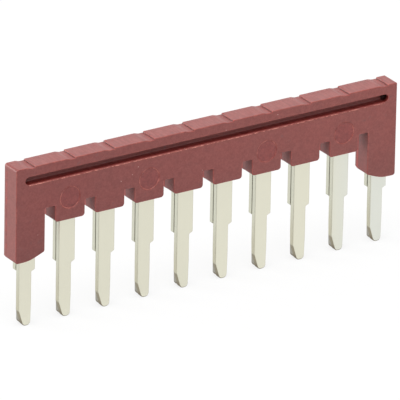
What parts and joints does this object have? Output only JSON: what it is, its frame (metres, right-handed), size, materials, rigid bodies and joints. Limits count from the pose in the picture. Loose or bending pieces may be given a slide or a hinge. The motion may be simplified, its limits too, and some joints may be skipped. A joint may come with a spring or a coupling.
{
  "type": "terminal block jumper bar",
  "caption": "Flat plug-in jumper bar that bridges a row of terminal blocks: a dark red insulating housing with a lever groove over tinned contact combs whose flat pins point down.",
  "frame": {"origin": "middle of the bar's length and thickness, in the plane of the contact tips", "axes": "+X along the bar, -Y out of the grooved front face, +Z from the contact tips up to the notched top"},
  "size_m": [0.0506, 0.0026, 0.0194],
  "materials": {
    "housing_plastic": "dull dark red insulating plastic with a fine spark-eroded grain",
    "tinned_copper": "matt warm-white tin plating on stamped copper strip"
  },
  "bodies": {
    "root": {"housing": "housing_plastic", "front_contact_comb": "tinned_copper", "rear_contact_comb": "tinned_copper"}
  },
  "joints": []
}
